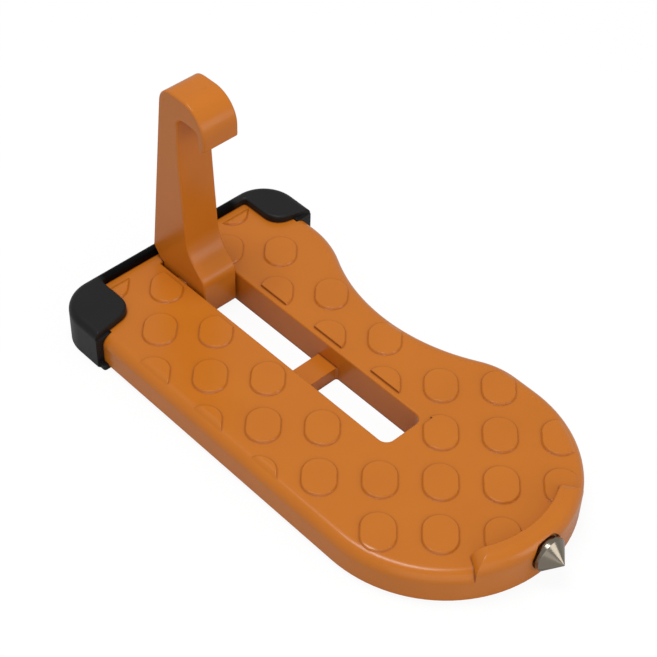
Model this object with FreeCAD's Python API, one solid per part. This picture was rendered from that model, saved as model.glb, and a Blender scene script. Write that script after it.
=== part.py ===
"""Folding car door step: cast pedal, swing hook, hinge pin, rubber bumper and hammer tip.

Millimetres. X runs forward from the bumper to the hammer tip, Y runs across and Z runs up
from the underside. Stations along X are counted from the rear face of the bumper, and
export() then centres the step on the origin.
"""
import math
import os

import FreeCAD
import Part

V = FreeCAD.Vector
UP = V(0, 0, 1)

# Pedal outline.
PEDAL_LENGTH = 148.0
PEDAL_WIDTH = 76.4
PEDAL_THICK = 10.7
REAR_CORNER_R = 8.0
WAIST_PLACE = 0.4236
WAIST_DEPTH = 10.7
WAIST_SHARE = 0.716
FRONT_CROWN = 7.1
REAR_CROWN = 20.6
RIM_R = 3.4
UNDER_EDGE = 1.2

# Raised lip on the nose.
LIP_RISE = 3.3
LIP_WIDTH = 6.2
LIP_HALF_ANGLE = 32.0
LIP_RIM_R = 4.2
LIP_EDGE = 0.4

# Slot for the hook and the bar across it.
SLOT_WIDTH = 13.7
SLOT_TO_NOSE = 51.0
SLOT_CORNER_R = 2.7
SLOT_EDGE_R = 0.5
REAR_WALL = 3.5
CROSSBAR_AT = 56.5
CROSSBAR_WIDTH = 7.4
CROSSBAR_EDGE_R = 0.8

# Low oval studs on a diagonal grid.
STUD_PITCH_U = 15.7
STUD_PITCH_V = 17.0
STUD_SKEW = 0.9
STUD_WIDTH = 9.6
STUD_LENGTH = 12.6
STUD_RISE = 0.6
STUD_BEVEL = 0.35
STUD_MARGIN = 1.4
STUD_FADE_R = 2.6
STUD_SLOT_MARGIN = 1.8
STUD_BOOT_MARGIN = 0.8
STUD_LEAST = 0.2
STUD_FIRST = (-5.3, -16.5)

# Cored underside.
SKIN = 3.6
OUTER_WALL = 4.6
SLOT_WALL = 4.0
RIB = 2.8
CORE_START = 22.0
CORE_CORNER_R = 1.4

# Hinge.
PIN_D = 5.0
PIN_FAR_DEPTH = 15.5
PIN_INSET = 0.6
PIN_RUN_GAP = 0.05
HEEL_REACH = 8.85
HEEL_GAP = 0.25
FOLD_GAP = 0.3
SIDE_GAP = 0.85
HUB_D = 9.2
HUB_GAP = 0.2

# Swing hook.
HOOK_HEIGHT = 76.0
ARM_FRONT = 0.4
ARM_LEAN = 6.2
ARM_BEND = 52.0
ARM_SPREAD = 4.1
SHOULDER_REACH = 13.1
SHOULDER_RISE = 4.3
SEAT_GAP = 0.3
SEAT_LAP = 0.8
FOOT_REACH = 9.6
FOOT_RISE = 0.4
FOOT_TOP = 14.5
TOE_R = (2.6, 4.8)
FLARE_R = 12.0
BEND_R = 60.0
THROAT_WIDTH = 8.6
THROAT_DEPTH = 5.6
THROAT_R = (2.8, 2.2)
CROWN = 7.0
CROWN_R = 5.5
BEAK_TIP = 2.5
BEAK_R = 9.0
HOOK_EDGE = 0.4

# Rubber bumper. Lobe sizes are given for the straight side, then for the waisted side.
BUMPER_REAR = 3.3
BUMPER_SIDE = 2.3
BUMPER_WRAP = 19.8
LOBE_FRONT = (17.2, 16.7)
LOBE_WIDTH = (15.1, 11.9)
LOBE_RISE = 2.3
LOBE_CORNER_R = 5.5
LOBE_EDGE_R = 0.7
CHEEK_END_R = 0.8
BOOT_ROUND_R = 2.2
STRIP_CORNER_R = 1.0
BAND_EDGE = 0.7
TUCK = 1.6
TUCK_AHEAD = 2.0
TUCK_WIDTH = 12.0

# Hammer tip.
TIP_REACH = 5.7
TIP_UP = 1.2
TIP_D = 10.0
TIP_SEAT_D = 10.2
TIP_SEAT_DEPTH = 1.1
TIP_LAND = 2.4
TIP_NECK_D = 8.6
TIP_RIM = 0.6
TIP_POINT_D = 0.6
SHANK_D = 4.6
SHANK_SKIN = 0.6

# Places that follow from the sizes above.
HALF = PEDAL_WIDTH / 2
REAR_X = BUMPER_REAR
FRONT_X = REAR_X + PEDAL_LENGTH
NOSE_X = FRONT_X - HALF
SLOT_REAR_X = REAR_X + REAR_WALL
SLOT_FRONT_X = FRONT_X - SLOT_TO_NOSE
BAR_X = REAR_X + CROSSBAR_AT
PIVOT_X = SLOT_REAR_X + HEEL_GAP + HEEL_REACH
PIVOT_Z = PEDAL_THICK / 2
BAR_LEAN = max(0, ARM_BEND - PIVOT_Z - BAR_X + PIVOT_X) * math.tan(math.radians(ARM_SPREAD))
BAR_TOP = PIVOT_Z - ARM_FRONT - BAR_LEAN - FOLD_GAP
NOSE_TOP = PEDAL_THICK + LIP_RISE
TIP_Z = NOSE_TOP / 2 + TIP_UP
SHANK_LENGTH = LIP_WIDTH - TIP_SEAT_DEPTH - SHANK_SKIN
OVERALL = FRONT_X + TIP_REACH
HOOK_WIDTH = SLOT_WIDTH - 2 * SIDE_GAP
PIN_R = PIN_D / 2
PIN_START = -HALF + PIN_INSET
PIN_END = SLOT_WIDTH / 2 + PIN_FAR_DEPTH
SHARP_X = min(LOBE_FRONT) - 0.6
THROUGH = 1.0


def arc(cx, cy, radius, start, end):
    """Edge of a circle in the ground plane, between two angles in degrees."""
    points = []
    for angle in (start, (start + end) / 2, end):
        turn = math.radians(angle)
        points.append(V(cx + radius * math.cos(turn), cy + radius * math.sin(turn), 0))
    return Part.Arc(*points).toShape()


def line(start, end):
    """Straight edge between two points of the ground plane."""
    return Part.makeLine(V(start[0], start[1], 0), V(end[0], end[1], 0))


def prism(wire, bottom, top):
    """Upright solid over a flat wire of the ground plane."""
    face = Part.Face(wire)
    face.translate(V(0, 0, bottom))
    return face.extrude(V(0, 0, top - bottom))


def box(x0, x1, y0, y1, z0, z1):
    """Box between two corners."""
    return Part.makeBox(x1 - x0, y1 - y0, z1 - z0, V(x0, y0, z0))


def rounded(corners):
    """Closed wire through corners (x, y, radius), each rounded by its radius."""
    points = [V(x, y, 0) for x, y, _ in corners]
    edges = []
    ends = []
    for index, (_, _, radius) in enumerate(corners):
        here = points[index]
        back = (points[index - 1] - here).normalize()
        ahead = (points[(index + 1) % len(points)] - here).normalize()
        half = math.acos(back.dot(ahead)) / 2
        run = radius / math.tan(half)
        inward = (back + ahead).normalize()
        middle = here + inward * (radius / math.sin(half) - radius)
        ends.append((here + back * run, middle, here + ahead * run))
    for index, (first, middle, last) in enumerate(ends):
        edges.append(Part.Arc(first, middle, last).toShape())
        following = ends[(index + 1) % len(ends)][0]
        if last.distanceToPoint(following) > 1e-6:
            edges.append(Part.makeLine(last, following))
    return Part.Wire(edges)


def round_edges(solid, radius, wanted):
    """Solid with a fillet on each edge that the test picks."""
    return solid.makeFillet(radius, [edge for edge in solid.Edges if wanted(edge)])


def bevel_edges(solid, size, wanted):
    """Solid with a chamfer on each edge that the test picks."""
    return solid.makeChamfer(size, [edge for edge in solid.Edges if wanted(edge)])


def flat_at(height):
    """Test for edges that lie level at one height."""
    return lambda edge: max(abs(vertex.Z - height) for vertex in edge.Vertexes) < 1e-6


def waist_arcs():
    """Centre and radius of the waist arc, the front shoulder arc and the rear shoulder arc.

    The crowns of the shoulders and the depth of the waist give each pair of tangent arcs.
    """
    waist_x = REAR_X + WAIST_PLACE * PEDAL_LENGTH
    crowns = (NOSE_X - FRONT_CROWN, REAR_X + REAR_CROWN)
    spans = [((crown - waist_x) ** 2 + WAIST_DEPTH ** 2) / (2 * WAIST_DEPTH) for crown in crowns]
    waist_r = WAIST_SHARE * min(spans)
    arcs = [(waist_x, HALF - WAIST_DEPTH + waist_r, waist_r)]
    for crown, span in zip(crowns, spans):
        arcs.append((crown, HALF - span + waist_r, span - waist_r))
    return arcs


def outline(inset):
    """Pedal outline moved inward: one straight side, one waisted side, a half-round nose."""
    side = HALF - inset
    rear = REAR_X + inset
    corner = max(REAR_CORNER_R - inset, 1.0)
    waist, front, back = waist_arcs()
    front_turn = math.degrees(math.atan2(waist[1] - front[1], waist[0] - front[0]))
    back_turn = math.degrees(math.atan2(waist[1] - back[1], waist[0] - back[0]))
    return Part.Wire([
        line((rear + corner, -side), (NOSE_X, -side)),
        arc(NOSE_X, 0, side, -90, 90),
        line((NOSE_X, side), (front[0], side)),
        arc(*front[:2], front[2] - inset, 90, front_turn),
        arc(*waist[:2], waist[2] + inset, front_turn - 180, back_turn - 180),
        arc(*back[:2], back[2] - inset, back_turn, 90),
        line((back[0], side), (rear + corner, side)),
        arc(rear + corner, side - corner, corner, 90, 180),
        line((rear, side - corner), (rear, corner - side)),
        arc(rear + corner, corner - side, corner, 180, 270),
    ])


def corner_plan(side, inner, outer, rear, front, front_r):
    """Plan of a bumper corner between two distances from the middle, on the side given by +1 or -1."""
    return rounded([
        (rear, side * inner, 0.5),
        (front, side * inner, front_r),
        (front, side * outer, CHEEK_END_R),
        (rear, side * outer, REAR_CORNER_R + BUMPER_REAR - rear),
    ])


def tucks():
    """Bumper lips that sit in rebates under the rear corners of the pedal."""
    inset = BAND_EDGE + 0.1
    outer = HALF + BUMPER_SIDE - inset
    inner = outer - TUCK_WIDTH
    front = BUMPER_WRAP + TUCK_AHEAD
    plans = [corner_plan(side, inner, outer, inset, front, LOBE_CORNER_R) for side in (1, -1)]
    return [prism(plan, 0, TUCK) for plan in plans]


def lip():
    """Raised crescent round the front of the nose."""
    inner = HALF - LIP_WIDTH
    turn = math.radians(LIP_HALF_ANGLE)
    near = V(NOSE_X + inner * math.cos(turn), -inner * math.sin(turn), 0)
    wire = Part.Wire([
        arc(NOSE_X, 0, HALF, -LIP_HALF_ANGLE, LIP_HALF_ANGLE),
        line((NOSE_X + HALF * math.cos(turn), HALF * math.sin(turn)), (near.x, -near.y)),
        arc(NOSE_X, 0, inner, LIP_HALF_ANGLE, -LIP_HALF_ANGLE),
        line((near.x, near.y), (NOSE_X + HALF * math.cos(turn), -HALF * math.sin(turn))),
    ])
    body = prism(wire, PEDAL_THICK / 2, NOSE_TOP)
    top = flat_at(NOSE_TOP)
    body = round_edges(body, LIP_RIM_R, lambda e: top(e) and reach(e) > HALF - 0.01)
    return bevel_edges(body, LIP_EDGE, lambda e: top(e) and reach(e) < inner + 0.01)


def reach(edge):
    """Greatest distance of an edge's ends and middle from the nose centre, seen from above."""
    spots = [edge.valueAt(edge.FirstParameter + part * (edge.LastParameter - edge.FirstParameter))
             for part in (0.0, 0.5, 1.0)]
    return max(math.hypot(spot.x - NOSE_X, spot.y) for spot in spots)


def grid(step_u, step_v):
    """Point of the diagonal stud grid."""
    along_u = step_u * STUD_PITCH_U / math.sqrt(2)
    turn = math.radians(45 + STUD_SKEW)
    x = NOSE_X + STUD_FIRST[0] + along_u + step_v * STUD_PITCH_V * math.cos(turn)
    y = STUD_FIRST[1] + along_u - step_v * STUD_PITCH_V * math.sin(turn)
    return x, y


def oval(width, length, height):
    """Oval wire, long way at minus 45 degrees, at one height."""
    half_run = (length - width) / 2
    wire = Part.Wire([
        arc(half_run, 0, width / 2, -90, 90),
        line((half_run, width / 2), (-half_run, width / 2)),
        arc(-half_run, 0, width / 2, 90, 270),
        line((-half_run, -width / 2), (half_run, -width / 2)),
    ])
    wire.rotate(V(0, 0, 0), UP, -45)
    wire.translate(V(0, 0, height))
    return wire


def studs():
    """Bevelled oval studs over the whole top, fading over the rim, trimmed clear of slot and bumper."""
    top = PEDAL_THICK + STUD_RISE
    low = PEDAL_THICK - STUD_RISE / 2
    root = PEDAL_THICK - 2 * STUD_RISE
    foot = oval(STUD_WIDTH + STUD_BEVEL, STUD_LENGTH + STUD_BEVEL, low)
    head = oval(STUD_WIDTH - 2 * STUD_BEVEL, STUD_LENGTH - 2 * STUD_BEVEL, top)
    stud = Part.makeLoft([foot, head], True, True)
    stud = stud.fuse(Part.Face(foot).extrude(V(0, 0, root - low)))
    placed = []
    for step_u in range(-12, 6):
        for step_v in range(-9, 9):
            x, y = grid(step_u, step_v)
            if REAR_X - STUD_LENGTH < x < FRONT_X and abs(y) < HALF + STUD_LENGTH:
                one = stud.copy()
                one.translate(V(x, y, 0))
                placed.append(one)
    keep = prism(outline(STUD_MARGIN), PEDAL_THICK / 2, top)
    keep = round_edges(keep, STUD_FADE_R, flat_at(top))
    margin = SLOT_WIDTH / 2 + STUD_SLOT_MARGIN
    keep = keep.cut(box(0, SLOT_FRONT_X + STUD_SLOT_MARGIN, -margin, margin, 0, top + THROUGH))
    keep = keep.cut(prism(boot_rim(STUD_BOOT_MARGIN), 0, top + THROUGH))
    trimmed = Part.Compound(placed).common(keep)
    full = stud.Volume
    return [solid for solid in trimmed.Solids if solid.Volume > STUD_LEAST * full]


def slot_cells():
    """Cuts for the slot: an upper run over its whole length and two cells below, apart from the bar."""
    half = SLOT_WIDTH / 2
    rear_r = HEEL_GAP * 2
    bar_r = CROSSBAR_EDGE_R
    upper = rounded([
        (SLOT_REAR_X, -half, rear_r), (SLOT_FRONT_X, -half, SLOT_CORNER_R),
        (SLOT_FRONT_X, half, SLOT_CORNER_R), (SLOT_REAR_X, half, rear_r),
    ])
    back = rounded([(SLOT_REAR_X, -half, rear_r), (BAR_X, -half, bar_r), (BAR_X, half, bar_r),
                    (SLOT_REAR_X, half, rear_r)])
    bar_front = BAR_X + CROSSBAR_WIDTH
    ahead = rounded([
        (bar_front, -half, bar_r), (SLOT_FRONT_X, -half, SLOT_CORNER_R),
        (SLOT_FRONT_X, half, SLOT_CORNER_R), (bar_front, half, bar_r),
    ])
    top = PEDAL_THICK + THROUGH
    return [prism(upper, BAR_TOP, top), prism(back, -THROUGH, top), prism(ahead, -THROUGH, top)]


def cores():
    """Pockets in the underside, between diagonal ribs that run below the gaps of the stud grid."""
    roof = PEDAL_THICK - SKIN
    room = prism(outline(OUTER_WALL), -THROUGH, roof)
    wall = SLOT_WIDTH / 2 + SLOT_WALL
    shank_rear = FRONT_X - TIP_SEAT_DEPTH - SHANK_LENGTH
    room = room.cut([
        box(0, SLOT_FRONT_X + SLOT_WALL, -wall, wall, -2 * THROUGH, roof + THROUGH),
        box(0, CORE_START, -HALF, HALF, -2 * THROUGH, roof + THROUGH),
        box(shank_rear - SLOT_WALL, FRONT_X, -SHANK_D, SHANK_D, -2 * THROUGH, roof + THROUGH),
    ])
    span = 2 * PEDAL_LENGTH
    ribs = []
    for step in range(-12, 12):
        x, y = grid(step + 0.5, 0.5)
        across = box(-RIB / 2, RIB / 2, -span, span, -2 * THROUGH, roof + THROUGH)
        across.rotate(V(0, 0, 0), UP, 45)
        across.translate(V(x, y, 0))
        x, y = grid(0.5, step + 0.5)
        along = box(-RIB / 2, RIB / 2, -span, span, -2 * THROUGH, roof + THROUGH)
        along.rotate(V(0, 0, 0), UP, -45)
        along.translate(V(x, y, 0))
        ribs += [across, along]
    smallest = 0.12 * STUD_PITCH_U * STUD_PITCH_V * roof
    pockets = [solid for solid in room.cut(ribs).Solids if solid.Volume > smallest]
    floors = [max(solid.Faces, key=lambda face: face.CenterOfMass.z) for solid in pockets]
    eased = [floor.makeOffset2D(-CORE_CORNER_R).makeOffset2D(CORE_CORNER_R) for floor in floors]
    return [floor.extrude(V(0, 0, -roof - THROUGH)) for floor in eased]


def cross_hole(radius, start, end):
    """Cylinder across the pedal on the hinge axis."""
    return Part.makeCylinder(radius, end - start, V(PIVOT_X, start, PIVOT_Z), V(0, 1, 0))


def blank():
    """Foot plate before any cut: rounded rims, square where the bumper covers it."""
    plate = prism(outline(0), 0, PEDAL_THICK)
    sharp_rear = plate.common(box(0, SHARP_X, -HALF, HALF, 0, PEDAL_THICK))
    plate = round_edges(plate, RIM_R, flat_at(PEDAL_THICK))
    plate = bevel_edges(plate, UNDER_EDGE, flat_at(0))
    return plate.fuse(sharp_rear).removeSplitter()


def pedal_body():
    """Cast foot plate."""
    plate = blank()
    top = flat_at(PEDAL_THICK)
    plate = plate.cut(slot_cells()).removeSplitter()
    inside = SLOT_WIDTH / 2 + 0.01
    plate = round_edges(plate, SLOT_EDGE_R, lambda edge: top(edge) and all(
        abs(vertex.Y) < inside and SLOT_REAR_X - 0.01 < vertex.X < SLOT_FRONT_X + 0.01
        for vertex in edge.Vertexes))
    plate = plate.fuse(studs()).removeSplitter().fuse(lip()).removeSplitter()
    seat_x = FRONT_X - TIP_SEAT_DEPTH
    cuts = cores() + tucks()
    cuts.append(cross_hole(PIN_R, -HALF - THROUGH, PIN_END))
    cuts.append(Part.makeCylinder(TIP_SEAT_D / 2, TIP_REACH, V(seat_x, 0, TIP_Z), V(1, 0, 0)))
    cuts.append(Part.makeCylinder(SHANK_D / 2, SHANK_LENGTH, V(seat_x, 0, TIP_Z), V(-1, 0, 0)))
    return plate.cut(cuts).removeSplitter()


def hook():
    """Swing hook: heel and foot round the pin, leaning arm, throat and beak."""
    front = PIVOT_X + ARM_FRONT
    heel = PIVOT_X - HEEL_REACH
    toe = PIVOT_X + FOOT_REACH
    beak_in = front + THROAT_WIDTH
    beak_out = beak_in + BEAK_TIP
    roof = HOOK_HEIGHT - CROWN
    tip = roof - THROAT_DEPTH
    seat = PEDAL_THICK + SEAT_GAP
    shoulder = PIVOT_X - SHOULDER_REACH
    shoulder_z = PEDAL_THICK + SHOULDER_RISE
    back_top = shoulder + (HOOK_HEIGHT - shoulder_z) * math.tan(math.radians(ARM_LEAN))
    spread = math.tan(math.radians(ARM_SPREAD))
    flare = (front + (ARM_BEND - FOOT_TOP - toe) * spread) / (1 - spread)
    wire = rounded([
        (heel, FOOT_RISE, PIVOT_Z - FOOT_RISE - 0.05),
        (toe, FOOT_RISE, TOE_R[0]),
        (toe, FOOT_TOP, TOE_R[1]),
        (flare, FOOT_TOP + toe - flare, FLARE_R),
        (front, ARM_BEND, BEND_R),
        (front, roof, THROAT_R[0]),
        (beak_in, roof, THROAT_R[1]),
        (beak_in, tip, BEAK_TIP * 0.32),
        (beak_out, tip, BEAK_TIP * 0.32),
        (beak_out, HOOK_HEIGHT, BEAK_R),
        (back_top, HOOK_HEIGHT, CROWN_R),
        (shoulder, shoulder_z, 1.0),
        (SLOT_REAR_X - SEAT_LAP, seat, 0.6),
        (heel, seat, 0.3),
    ])
    half = HOOK_WIDTH / 2
    body = prism(wire, -half, half)
    body = bevel_edges(body, HOOK_EDGE, lambda edge: flat_at(half)(edge) or flat_at(-half)(edge))
    body.rotate(V(0, 0, 0), V(1, 0, 0), 90)
    hub_half = SLOT_WIDTH / 2 - HUB_GAP
    body = body.fuse(cross_hole(HUB_D / 2, -hub_half, hub_half)).removeSplitter()
    return body.cut(cross_hole(PIN_R + PIN_RUN_GAP, -HALF, HALF))


def hinge_pin():
    """Steel pin driven in from the straight side."""
    pin = cross_hole(PIN_R, PIN_START, PIN_END)
    return pin.makeChamfer(0.4, [edge for edge in pin.Edges if len(edge.Vertexes) == 1])


def boot_rim(spread):
    """Plan that cuts the bumper out above the pedal: a rear strip and two lobes, grown inward by spread."""
    outer = HALF + BUMPER_SIDE + THROUGH
    outer_r = REAR_CORNER_R + BUMPER_REAR
    near, far = [HALF + BUMPER_SIDE - width - spread for width in LOBE_WIDTH]
    strip = REAR_X + spread
    wrap = BUMPER_WRAP + spread
    return rounded([
        (-THROUGH, -outer, outer_r),
        (wrap, -outer, CHEEK_END_R),
        (LOBE_FRONT[0] + spread, -near, LOBE_CORNER_R),
        (strip, -near, STRIP_CORNER_R),
        (strip, far, STRIP_CORNER_R),
        (LOBE_FRONT[1] + spread, far, LOBE_CORNER_R),
        (wrap, outer, CHEEK_END_R),
        (-THROUGH, outer, outer_r),
    ])


def rubber_bumper():
    """Moulded boot round the rear edge, with a rim that folds over the top of the pedal."""
    outer = HALF + BUMPER_SIDE
    outer_r = REAR_CORNER_R + BUMPER_REAR
    crest = PEDAL_THICK + LOBE_RISE
    boot = prism(rounded([
        (0, -outer, outer_r),
        (2 * BUMPER_WRAP, -outer, outer_r),
        (2 * BUMPER_WRAP, outer, outer_r),
        (0, outer, outer_r),
    ]), 0, crest)
    boot = round_edges(boot, BOOT_ROUND_R, flat_at(crest))
    boot = bevel_edges(boot, BAND_EDGE, flat_at(0))
    wide = outer + THROUGH
    band = box(-THROUGH, BUMPER_WRAP, -wide, wide, -THROUGH, PEDAL_THICK)
    rim = prism(boot_rim(0), PEDAL_THICK - LOBE_RISE, crest)
    rim = round_edges(rim, LOBE_EDGE_R, flat_at(crest))
    return boot.common(band.fuse(rim)).cut(blank()).fuse(tucks()).removeSplitter()


def hammer_tip():
    """Hard steel cone on a grooved neck, with a shank pressed into the nose."""
    seat_x = FRONT_X - TIP_SEAT_DEPTH
    land_end = seat_x + TIP_LAND
    profile = [
        (seat_x - SHANK_LENGTH, 0), (seat_x - SHANK_LENGTH, SHANK_D / 2), (seat_x, SHANK_D / 2),
        (seat_x, TIP_NECK_D / 2), (land_end - TIP_RIM, TIP_NECK_D / 2), (land_end - TIP_RIM, TIP_D / 2),
        (land_end, TIP_D / 2), (OVERALL, TIP_POINT_D / 2), (OVERALL, 0),
    ]
    corners = [V(x, 0, TIP_Z + radius) for x, radius in profile]
    face = Part.Face(Part.makePolygon(corners + corners[:1]))
    return face.revolve(V(0, 0, TIP_Z), V(1, 0, 0), 360)


def export(name, shape):
    """Centre the step on the origin and write one piece."""
    solid = shape.Solids[0]
    print(name, "solids", len(shape.Solids), "valid", shape.isValid(), "volume", round(shape.Volume))
    solid.translate(V(-OVERALL / 2, 0, 0))
    solid.exportStep(f"parts/{name}.step")


os.makedirs("parts", exist_ok=True)
export("pedal_body", pedal_body())
export("hook", hook())
export("hinge_pin", hinge_pin())
export("rubber_bumper", rubber_bumper())
export("hammer_tip", hammer_tip())
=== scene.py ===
"""Look of the folding car door step: finishes, hammer tip, studio and viewpoint.

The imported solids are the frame, in metres, and every piece rides on one of its bodies.
"""
import logging
import math
from dataclasses import dataclass
from enum import Enum
from typing import Any, Protocol

import bpy
import numpy as np
from mathutils import Matrix, Vector


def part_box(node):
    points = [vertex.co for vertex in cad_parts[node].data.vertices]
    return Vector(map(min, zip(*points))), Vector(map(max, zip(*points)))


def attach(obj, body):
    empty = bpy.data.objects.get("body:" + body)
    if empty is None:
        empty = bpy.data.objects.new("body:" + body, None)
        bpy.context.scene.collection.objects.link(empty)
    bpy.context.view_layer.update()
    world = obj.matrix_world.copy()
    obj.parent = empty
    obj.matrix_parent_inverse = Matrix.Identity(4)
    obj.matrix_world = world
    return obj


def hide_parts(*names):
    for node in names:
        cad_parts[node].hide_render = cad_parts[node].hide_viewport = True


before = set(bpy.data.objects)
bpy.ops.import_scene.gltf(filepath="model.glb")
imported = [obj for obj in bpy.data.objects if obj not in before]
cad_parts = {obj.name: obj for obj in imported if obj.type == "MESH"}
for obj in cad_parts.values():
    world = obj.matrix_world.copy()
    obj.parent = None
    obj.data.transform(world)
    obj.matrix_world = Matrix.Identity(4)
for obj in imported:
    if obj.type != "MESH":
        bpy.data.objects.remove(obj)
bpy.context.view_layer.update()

MM = 0.001
WHITE = (1.0, 1.0, 1.0, 1.0)
EDGE_SAMPLES = 6  # Rays that round an edge.
CORNER_SAMPLES = 8  # Rays that feel for an inside corner.
RICH_NOISE = 3.0  # Octaves of a noise with fine detail.
PLAIN_NOISE = 2.0  # Octaves of a softer noise.
WAVE_BAND = math.pi / 10  # Width of one band of the wave texture at a scale of one.

log = logging.getLogger("door_step")


class Body(Enum):
    """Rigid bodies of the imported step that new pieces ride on."""

    PEDAL = "pedal"


class Node(Enum):
    """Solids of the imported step."""

    PEDAL = "pedal_body"
    HOOK = "hook"
    PIN = "hinge_pin"
    BUMPER = "rubber_bumper"
    TIP = "hammer_tip"


class Slot(Enum):
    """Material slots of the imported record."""

    TIP = "tip_steel"


class Lathe(Enum):
    """Axis that a turned piece was cut about."""

    ALONG = "X"
    ACROSS = "Y"


class Finish(Protocol):
    """Anything that can make a material."""

    def make(self) -> bpy.types.Material:
        """Build the node material.

        Returns:
            The finished material.
        """


def linear(hex_colour: str) -> tuple[float, float, float, float]:
    """Turn an sRGB colour into linear light.

    Args:
        hex_colour: Six hex digits, red first.

    Returns:
        Linear red, green, blue and an alpha of one.
    """
    parts = np.array([int(hex_colour[i:i + 2], 16) for i in (0, 2, 4)]) / 255
    light = np.where(parts <= 0.04045, parts / 12.92, ((parts + 0.055) / 1.055) ** 2.4)
    return (*light.tolist(), 1.0)


def add(tree: bpy.types.NodeTree, kind: str, settings: dict[str, Any] | None = None,
        inputs: dict[str | int, Any] | None = None) -> bpy.types.Node:
    """Add one node with its settings, values and links.

    Args:
        tree: Tree that takes the node.
        kind: Blender's name of the node type.
        settings: Properties of the node.
        inputs: Sockets by name or number. A socket as value is linked, anything else is set.

    Returns:
        The new node.
    """
    node = tree.nodes.new(kind)
    for name, value in (settings or {}).items():
        setattr(node, name, value)
    for name, value in (inputs or {}).items():
        if isinstance(value, bpy.types.NodeSocket):
            tree.links.new(value, node.inputs[name])
        else:
            node.inputs[name].default_value = value
    return node


def blank_material(name: str) -> bpy.types.Material:
    """Make a material with an empty node tree.

    Args:
        name: Name of the material.

    Returns:
        The material.
    """
    material = bpy.data.materials.new(name)
    material.use_nodes = True
    material.node_tree.nodes.clear()
    return material


@dataclass(frozen=True)
class SatinCoat:
    """Orange satin powder coat on an aluminium casting.

    A baked coat is a dielectric film over pigment: one deep colour, soft reflections and a
    very slight orange peel where the powder flowed together. Inside corners carry painted shade.

    Attributes:
        name: Name of the material.
        colour: Coat colour, sRGB.
        shade: Colour of the thinner spots of the coat, sRGB.
        roughness: Mean roughness of the coat.
        peel_mm: Width of one dimple of the orange peel.
        cloud_mm: Width of the faint clouds of thinner coat.
        edge_mm: Radius that the coat gives to a sharp edge.
        corner: Darker colour painted into inside corners as painted shade, sRGB.
        corner_mm: Reach of that painted shade.
        corner_span: Openness at which that painted shade is full and at which it ends.
        swing: Change of roughness to either side over the orange peel.
        peel_bump: Strength of the orange peel.
        peel_depth_mm: Depth of the orange peel.
        ior: Index of refraction of the film.
    """

    name: str = "orange powder coat"
    colour: str = "C9741F"
    shade: str = "C06C1B"
    roughness: float = 0.24
    peel_mm: float = 0.9
    cloud_mm: float = 14.0
    edge_mm: float = 0.35
    corner: str = "7A3A0C"
    corner_mm: float = 0.7
    corner_span: tuple[float, float] = (0.5, 0.95)
    swing: float = 0.04
    peel_bump: float = 0.06
    peel_depth_mm: float = 0.05
    ior: float = 1.4

    def make(self) -> bpy.types.Material:
        """Build the node material.

        Returns:
            The finished material.
        """
        material = blank_material(self.name)
        tree = material.node_tree
        place = add(tree, "ShaderNodeTexCoord").outputs["Object"]
        cloud = add(tree, "ShaderNodeTexNoise", {}, {
            "Vector": place, "Scale": 1 / (self.cloud_mm * MM), "Detail": RICH_NOISE})
        peel = add(tree, "ShaderNodeTexNoise", {}, {
            "Vector": place, "Scale": 1 / (self.peel_mm * MM), "Detail": PLAIN_NOISE})
        colour = add(tree, "ShaderNodeMix", {"data_type": "RGBA"}, {
            "Factor": cloud.outputs["Fac"], "A": linear(self.shade), "B": linear(self.colour)})
        # Painted shade: where ambient occlusion finds inside corners, the coat colour is darkened
        # towards corner.
        open_air = add(tree, "ShaderNodeAmbientOcclusion", {"samples": CORNER_SAMPLES}, {
            "Distance": self.corner_mm * MM})
        clear = add(tree, "ShaderNodeMapRange", {}, {
            "Value": open_air.outputs["AO"], "From Min": self.corner_span[0],
            "From Max": self.corner_span[1]})
        corner_painted_shade = add(tree, "ShaderNodeMix", {"data_type": "RGBA"}, {
            "Factor": clear.outputs["Result"], "A": linear(self.corner),
            "B": colour.outputs["Result"]})
        rough = add(tree, "ShaderNodeMapRange", {}, {
            "Value": peel.outputs["Fac"], "To Min": self.roughness - self.swing,
            "To Max": self.roughness + self.swing})
        edge = add(tree, "ShaderNodeBevel", {"samples": EDGE_SAMPLES}, {
            "Radius": self.edge_mm * MM})
        bump = add(tree, "ShaderNodeBump", {}, {
            "Height": peel.outputs["Fac"], "Normal": edge.outputs["Normal"],
            "Strength": self.peel_bump, "Distance": self.peel_depth_mm * MM})
        shader = add(tree, "ShaderNodeBsdfPrincipled", {}, {
            "Base Color": corner_painted_shade.outputs["Result"], "Roughness": rough.outputs["Result"],
            "Normal": bump.outputs["Normal"], "IOR": self.ior})
        add(tree, "ShaderNodeOutputMaterial", {}, {"Surface": shader.outputs["BSDF"]})
        return material


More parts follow.
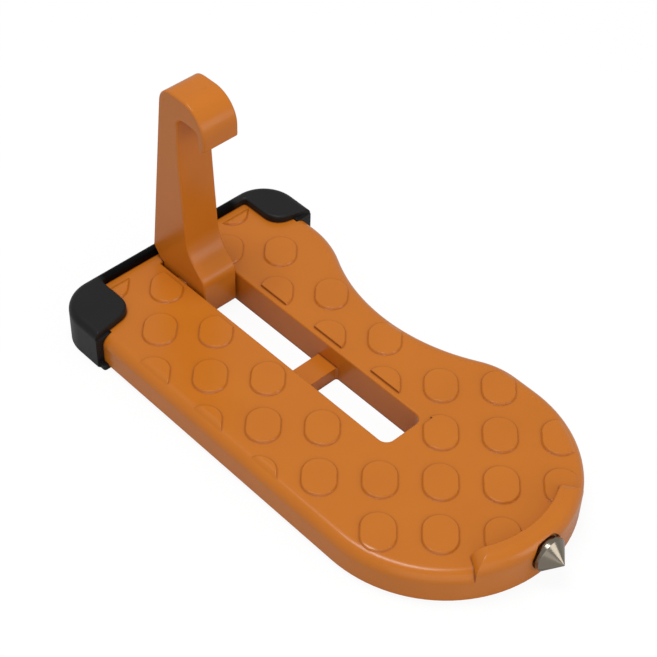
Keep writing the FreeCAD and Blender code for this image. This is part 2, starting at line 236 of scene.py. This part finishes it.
@dataclass(frozen=True)
class MouldedRubber:
    """Black moulded rubber.

    A satin skin from the mould: very dark, with a fine grain and patches of dusty bloom. The band
    between the corners is painted deep black and matt as painted shade.

    Attributes:
        name: Name of the material.
        colour: Rubber colour at the corners, sRGB.
        bloom: Colour where the corners have a dusty bloom, sRGB.
        band: Deep black painted on the band between the corners as painted shade, sRGB.
        corners_mm: Distances from the middle line where the band ends and the corners begin.
        sheen: Specular level of the band and of the corners; the band's low level is painted
            shade.
        roughness: Mean roughness of the skin.
        grain_mm: Width of the mould's grain, drawn coarse enough to show.
        cloud_mm: Width of the patches of bloom.
        edge_mm: Radius of the moulding's edges.
        grain_bump: Strength of the grain.
        grain_depth_mm: Depth of the grain.
        ior: Index of refraction of the skin.
    """

    name: str = "black moulded rubber"
    colour: str = "151515"
    bloom: str = "1C1C1C"
    band: str = "070707"
    corners_mm: tuple[float, float] = (23.5, 26.5)
    sheen: tuple[float, float] = (0.1, 0.5)
    roughness: float = 0.42
    grain_mm: float = 0.35
    cloud_mm: float = 12.0
    edge_mm: float = 0.3
    grain_bump: float = 0.12
    grain_depth_mm: float = 0.08
    ior: float = 1.3

    def make(self) -> bpy.types.Material:
        """Build the node material.

        Returns:
            The finished material.
        """
        material = blank_material(self.name)
        tree = material.node_tree
        place = add(tree, "ShaderNodeTexCoord").outputs["Object"]
        grain = add(tree, "ShaderNodeTexNoise", {}, {
            "Vector": place, "Scale": 1 / (self.grain_mm * MM), "Detail": RICH_NOISE})
        cloud = add(tree, "ShaderNodeTexNoise", {}, {
            "Vector": place, "Scale": 1 / (self.cloud_mm * MM), "Detail": PLAIN_NOISE})
        colour = add(tree, "ShaderNodeMix", {"data_type": "RGBA"}, {
            "Factor": cloud.outputs["Fac"], "A": linear(self.colour), "B": linear(self.bloom)})
        # Painted shade: the band within corners_mm of the middle line is painted deep black and
        # matt.
        split = add(tree, "ShaderNodeSeparateXYZ", {}, {"Vector": place})
        aside = add(tree, "ShaderNodeMath", {"operation": "ABSOLUTE"}, {0: split.outputs["Y"]})
        outside_band_shade = add(tree, "ShaderNodeMapRange", {"interpolation_type": "SMOOTHSTEP"}, {
            "Value": aside.outputs[0], "From Min": self.corners_mm[0] * MM,
            "From Max": self.corners_mm[1] * MM})
        skin = add(tree, "ShaderNodeMix", {"data_type": "RGBA"}, {
            "Factor": outside_band_shade.outputs["Result"], "A": linear(self.band),
            "B": colour.outputs["Result"]})
        sheen = add(tree, "ShaderNodeMapRange", {}, {
            "Value": outside_band_shade.outputs["Result"], "To Min": self.sheen[0], "To Max": self.sheen[1]})
        edge = add(tree, "ShaderNodeBevel", {"samples": EDGE_SAMPLES}, {
            "Radius": self.edge_mm * MM})
        bump = add(tree, "ShaderNodeBump", {}, {
            "Height": grain.outputs["Fac"], "Normal": edge.outputs["Normal"],
            "Strength": self.grain_bump, "Distance": self.grain_depth_mm * MM})
        shader = add(tree, "ShaderNodeBsdfPrincipled", {}, {
            "Base Color": skin.outputs["Result"], "Roughness": self.roughness,
            "Specular IOR Level": sheen.outputs["Result"], "Normal": bump.outputs["Normal"],
            "IOR": self.ior})
        add(tree, "ShaderNodeOutputMaterial", {}, {"Surface": shader.outputs["BSDF"]})
        return material


@dataclass(frozen=True)
class TurnedSteel:
    """Bare hardened steel turned on a lathe.

    Fine tool rings run round the axis and stretch the highlights into streaks.

    Attributes:
        name: Name of the material.
        colour: Steel colour, sRGB.
        roughness: Roughness of the cut surface.
        feed_mm: Distance between two tool rings, drawn coarse enough to show.
        axis: Axis of the lathe.
        waver: Unevenness of the rings.
        ring_bump: Strength of the rings.
        ring_depth_mm: Depth of the rings.
    """

    name: str
    colour: str
    roughness: float
    feed_mm: float
    axis: Lathe
    waver: float = 0.6
    ring_bump: float = 0.08
    ring_depth_mm: float = 0.05

    def make(self) -> bpy.types.Material:
        """Build the node material.

        Returns:
            The finished material.
        """
        material = blank_material(self.name)
        tree = material.node_tree
        place = add(tree, "ShaderNodeTexCoord").outputs["Object"]
        rings = add(tree, "ShaderNodeTexWave", {"bands_direction": self.axis.value}, {
            "Vector": place, "Scale": WAVE_BAND / (self.feed_mm * MM), "Distortion": self.waver})
        bump = add(tree, "ShaderNodeBump", {}, {
            "Height": rings.outputs["Fac"], "Strength": self.ring_bump,
            "Distance": self.ring_depth_mm * MM})
        shader = add(tree, "ShaderNodeBsdfPrincipled", {}, {
            "Base Color": linear(self.colour), "Metallic": 1.0, "Roughness": self.roughness,
            "Normal": bump.outputs["Normal"]})
        add(tree, "ShaderNodeOutputMaterial", {}, {"Surface": shader.outputs["BSDF"]})
        return material


def dress_node(node: Node, finish: Finish) -> None:
    """Show a solid of the frame as it is, in its finish.

    Args:
        node: Solid to dress.
        finish: Its finish.
    """
    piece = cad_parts[node.value]
    piece.data.materials.clear()
    piece.data.materials.append(finish.make())
    log.info("%s dressed", piece.name)


def turned_piece(name: str, stations: np.ndarray, radii: np.ndarray,
                 axis_yz: tuple[float, float], turns: int) -> bpy.types.Object:
    """Turn a profile about a line along X.

    A point at station s and turn angle a lies at (s, y + r(s) cos a, z + r(s) sin a). The two ends
    close in one point each.

    Args:
        name: Name of the piece.
        stations: Places along X of the rings, rising.
        radii: Radius of each ring.
        axis_yz: Place of the line in Y and Z.
        turns: Number of points round each ring.

    Returns:
        The new object, smooth shaded, at the origin.
    """
    angle = np.linspace(0, 2 * np.pi, turns, endpoint=False)
    x = np.repeat(stations, turns)
    y = axis_yz[0] + np.outer(radii, np.cos(angle)).ravel()
    z = axis_yz[1] + np.outer(radii, np.sin(angle)).ravel()
    ends = np.array([[stations[0], *axis_yz], [stations[-1], *axis_yz]])
    points = np.vstack([np.stack([x, y, z], axis=1), ends])
    here = np.arange(turns)
    following = (here + 1) % turns
    row = np.arange(len(stations) - 1)[:, None] * turns
    walls = np.stack(
        [row + here, row + turns + here, row + turns + following, row + following], axis=2)
    first = len(stations) * turns
    last_ring = first - turns
    rear_cap = np.stack([np.full(turns, first), here, following], axis=1)
    front_cap = np.stack(
        [np.full(turns, first + 1), last_ring + following, last_ring + here], axis=1)
    caps = np.vstack([rear_cap, front_cap])
    mesh = bpy.data.meshes.new(name)
    mesh.from_pydata(points.tolist(), [], walls.reshape(-1, 4).tolist() + caps.tolist())
    mesh.shade_smooth()
    piece = bpy.data.objects.new(name, mesh)
    bpy.context.scene.collection.objects.link(piece)
    return piece


@dataclass
class FootPlate:
    """Cast foot plate in its coat.

    Attributes:
        coat: Finish of the casting.
    """

    coat: Finish

    def dress(self) -> None:
        """Coat the casting."""
        dress_node(Node.PEDAL, self.coat)


@dataclass
class SwingHook:
    """Coated hook on its steel pin.

    Attributes:
        coat: Finish of the hook.
        pin: Finish of the pin.
    """

    coat: Finish
    pin: TurnedSteel = TurnedSteel("ground steel", "A8A6A1", 0.3, 0.3, Lathe.ACROSS)

    def dress(self) -> None:
        """Coat the hook and give the pin its steel."""
        dress_node(Node.HOOK, self.coat)
        dress_node(Node.PIN, self.pin)


@dataclass
class BumperBoot:
    """Rubber boot round the rear of the plate.

    Attributes:
        rubber: Finish of the boot.
    """

    rubber: MouldedRubber = MouldedRubber()

    def dress(self) -> None:
        """Give the boot its rubber."""
        dress_node(Node.BUMPER, self.rubber)


@dataclass
class HammerTip:
    """Turned steel cone in the nose of the plate.

    Attributes:
        shank_mm: Length and radius of the pressed shank.
        neck_mm: Length and radius of the neck.
        rim_mm: Width of the rim in front of the neck.
        rim_round_mm: Radius of the rim's two rounded corners.
        point_mm: Radius of the blunt point.
        steel: Finish of the tip.
        shank_lead: Radius of the shank's rear end, as a share of the shank's.
        ring_gap_mm: Distance between the two rings that keep a corner sharp.
        step_mm: Height of the small step from the neck to the rim.
        dome_share: Length of the point's dome, as a share of its radius.
        dome_end: Angle from the axis of the dome's last ring, in radians.
        corner_rings: Rings in each rounded corner of the rim.
        dome_rings: Rings in the dome.
        flank_rings: Rings along the cone, with both ends.
        turns: Points round each ring.
    """

    shank_mm: tuple[float, float] = (4.5, 2.3)
    neck_mm: tuple[float, float] = (1.3, 4.3)
    rim_mm: float = 1.1
    rim_round_mm: float = 0.12
    point_mm: float = 0.3
    steel: TurnedSteel = TurnedSteel("turned hard steel", "8E8577", 0.2, 0.25, Lathe.ALONG)
    shank_lead: float = 0.9
    ring_gap_mm: float = 0.02
    step_mm: float = 0.05
    dome_share: float = 0.6
    dome_end: float = 0.2
    corner_rings: int = 7
    dome_rings: int = 6
    flank_rings: int = 24
    turns: int = 96

    def build(self) -> bpy.types.Object:
        """Turn the tip from its profile.

        The profile runs from the shank over the neck and the rim to the cone. Sharp corners are
        pairs of close rings, the rim's corners are rounded, and the cone ends in a small dome.

        Returns:
            The tip.
        """
        low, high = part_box(Node.TIP.value)
        start, end = low[0] / MM, high[0] / MM
        radius = (high[2] - low[2]) / MM / 2
        axis = ((low[1] + high[1]) / 2, (low[2] + high[2]) / 2)
        shank_length, shank = self.shank_mm
        neck_length, neck = self.neck_mm
        small, gap = self.rim_round_mm, self.ring_gap_mm
        seat = start + shank_length
        back = seat + neck_length
        front = back + self.rim_mm
        lean = math.atan2(radius - self.point_mm, end - front)
        bend = np.linspace(0, np.pi / 2, self.corner_rings)
        turn = np.linspace(np.pi / 2, lean, self.corner_rings)
        dome = np.linspace(np.pi / 2 - lean, self.dome_end, self.dome_rings)
        flank = np.linspace(0, 1, self.flank_rings)[1:-1]
        rim_end = front - small * math.tan((np.pi / 2 - lean) / 2)
        corner_x = rim_end + small * np.cos(turn)
        corner_r = radius - small + small * np.sin(turn)
        dome_length = self.point_mm * self.dome_share
        tip_x = end - dome_length + dome_length * np.cos(dome)
        tip_r = self.point_mm * np.sin(dome)
        stations = np.concatenate([
            [start, start, seat - gap, seat, seat, back - gap, back, back],
            back + small - small * np.cos(bend), corner_x,
            corner_x[-1] + (tip_x[0] - corner_x[-1]) * flank, tip_x])
        radii = np.concatenate([
            [shank * self.shank_lead, shank, shank, shank, neck, neck, neck, neck + self.step_mm],
            radius - small + small * np.sin(bend), corner_r,
            corner_r[-1] + (tip_r[0] - corner_r[-1]) * flank, tip_r])
        return turned_piece("steel_tip", stations * MM, radii * MM, axis, self.turns)

    def dress(self) -> None:
        """Put the turned tip in the place of its solid and give it its steel."""
        piece = self.build()
        piece.data.materials.append(self.steel.make())
        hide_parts(Node.TIP.value)
        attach(piece, Body.PEDAL.value)
        log.info("%s built", piece.name)


@dataclass(frozen=True)
class Softbox:
    """Rectangular lamp that points at the step.

    Attributes:
        name: Name of the lamp.
        place_mm: Place of its middle.
        size_mm: Its width and length.
        watts: Its power.
    """

    name: str
    place_mm: tuple[float, float, float]
    size_mm: tuple[float, float]
    watts: float

    def hang(self) -> None:
        """Put the lamp in the scene."""
        lamp = bpy.data.lights.new(self.name, "AREA")
        lamp.shape = "RECTANGLE"
        lamp.size = self.size_mm[0] * MM
        lamp.size_y = self.size_mm[1] * MM
        lamp.energy = self.watts
        holder = bpy.data.objects.new(self.name, lamp)
        holder.location = Vector(self.place_mm) * MM
        holder.rotation_mode = "QUATERNION"
        holder.rotation_quaternion = (-Vector(self.place_mm)).to_track_quat("-Z", "Y")
        bpy.context.scene.collection.objects.link(holder)


@dataclass
class Studio:
    """White sweep with three lamps in a grey room.

    Attributes:
        floor_mm: Side of the floor.
        drop_mm: Depth of the floor below the step.
        paper: Colour of the floor's paper, sRGB.
        seen_white: Share of plain white in the floor that the camera sees.
        mirrored_white: Share of plain white in the floor that shiny surfaces mirror.
        glow: Strength of that plain white.
        room: Strength of the room's light.
        lamps: The lamps.
    """

    floor_mm: float = 6000.0
    drop_mm: float = 0.02
    paper: str = "C8C8C8"
    seen_white: float = 0.85
    mirrored_white: float = 0.05
    glow: float = 1.08
    room: float = 0.5
    lamps: tuple[Softbox, ...] = (
        Softbox("key", (640, 245, 215), (300, 300), 0.68),
        Softbox("strip", (-84, -42, 680), (190, 320), 2.1),
        Softbox("fill", (560, -420, 210), (900, 900), 1.7))

    def build(self) -> None:
        """Make the floor, the lamps and the world."""
        half = self.floor_mm * MM / 2
        mesh = bpy.data.meshes.new("floor")
        corners = [(-half, -half, 0), (half, -half, 0), (half, half, 0), (-half, half, 0)]
        mesh.from_pydata(corners, [], [(0, 1, 2, 3)])
        floor = bpy.data.objects.new("floor", mesh)
        floor.location.z = -self.drop_mm * MM
        bpy.context.scene.collection.objects.link(floor)
        mesh.materials.append(self.sweep())
        for lamp in self.lamps:
            lamp.hang()
        self.world()

    def sweep(self) -> bpy.types.Material:
        """Pale paper that looks white to the camera and keeps a faint shadow.

        Returns:
            The floor's material.
        """
        material = blank_material("pale paper")
        tree = material.node_tree
        path = add(tree, "ShaderNodeLightPath")
        seen = add(tree, "ShaderNodeMath", {"operation": "MULTIPLY"}, {
            0: path.outputs["Is Camera Ray"], 1: self.seen_white})
        share = add(tree, "ShaderNodeMath", {"operation": "MULTIPLY_ADD"}, {
            0: path.outputs["Is Glossy Ray"], 1: self.mirrored_white, 2: seen.outputs[0]})
        matt = add(tree, "ShaderNodeBsdfDiffuse", {}, {"Color": linear(self.paper)})
        glow = add(tree, "ShaderNodeEmission", {}, {"Color": WHITE, "Strength": self.glow})
        both = add(tree, "ShaderNodeMixShader", {}, {
            0: share.outputs[0], 1: matt.outputs[0], 2: glow.outputs[0]})
        add(tree, "ShaderNodeOutputMaterial", {}, {"Surface": both.outputs[0]})
        return material

    def world(self) -> None:
        """Grey room that is white where the camera sees it."""
        world = bpy.data.worlds.new("room")
        world.use_nodes = True
        tree = world.node_tree
        tree.nodes.clear()
        path = add(tree, "ShaderNodeLightPath")
        strength = add(tree, "ShaderNodeMapRange", {}, {
            "Value": path.outputs["Is Camera Ray"], "To Min": self.room, "To Max": 1.0})
        glow = add(tree, "ShaderNodeBackground", {}, {
            "Color": WHITE, "Strength": strength.outputs["Result"]})
        add(tree, "ShaderNodeOutputWorld", {}, {"Surface": glow.outputs[0]})
        bpy.context.scene.world = world


@dataclass
class Viewpoint:
    """Camera at the photograph's viewing angle.

    Attributes:
        place_mm: Place of the lens.
        aim_mm: Point on the optical axis.
        roll_deg: Turn about the optical axis, which lifts the right side of the frame.
        focal_px: Focal length, in pixels of the frame.
        frame_px: Width of the square frame, in pixels.
        sensor_mm: Width of the sensor.
        clip_mm: Nearest and farthest distance that is drawn.
    """

    place_mm: tuple[float, float, float] = (221.19, -226.62, 351.95)
    aim_mm: tuple[float, float, float] = (-20.16, 11.72, 10.0)
    roll_deg: float = 2.103
    focal_px: float = 1715.0
    frame_px: float = 657.0
    sensor_mm: float = 36.0
    clip_mm: tuple[float, float] = (10.0, 20000.0)

    def build(self) -> None:
        """Make the camera and give it to the scene."""
        lens = bpy.data.cameras.new("viewpoint")
        lens.sensor_width = self.sensor_mm
        lens.lens = self.sensor_mm * self.focal_px / self.frame_px
        lens.clip_start = self.clip_mm[0] * MM
        lens.clip_end = self.clip_mm[1] * MM
        camera = bpy.data.objects.new("viewpoint", lens)
        ahead = (Vector(self.aim_mm) - Vector(self.place_mm)).normalized()
        level = ahead.cross(Vector((0, 0, 1))).normalized()
        upright = level.cross(ahead)
        roll = math.radians(self.roll_deg)
        right = level * math.cos(roll) + upright * math.sin(roll)
        up = right.cross(ahead)
        turn = Matrix((right, up, -ahead)).transposed()
        camera.matrix_world = Matrix.Translation(Vector(self.place_mm) * MM) @ turn.to_4x4()
        bpy.context.scene.collection.objects.link(camera)
        bpy.context.scene.camera = camera


def main() -> None:
    """Dress the step, then set up the studio and the camera."""
    logging.basicConfig(level=logging.INFO, format="%(name)s: %(message)s")
    bpy.context.scene.view_settings.view_transform = "Standard"
    coat = SatinCoat()
    FootPlate(coat).dress()
    SwingHook(coat).dress()
    BumperBoot().dress()
    HammerTip().dress()
    Studio().build()
    Viewpoint().build()


if __name__ == "__main__":
    main()
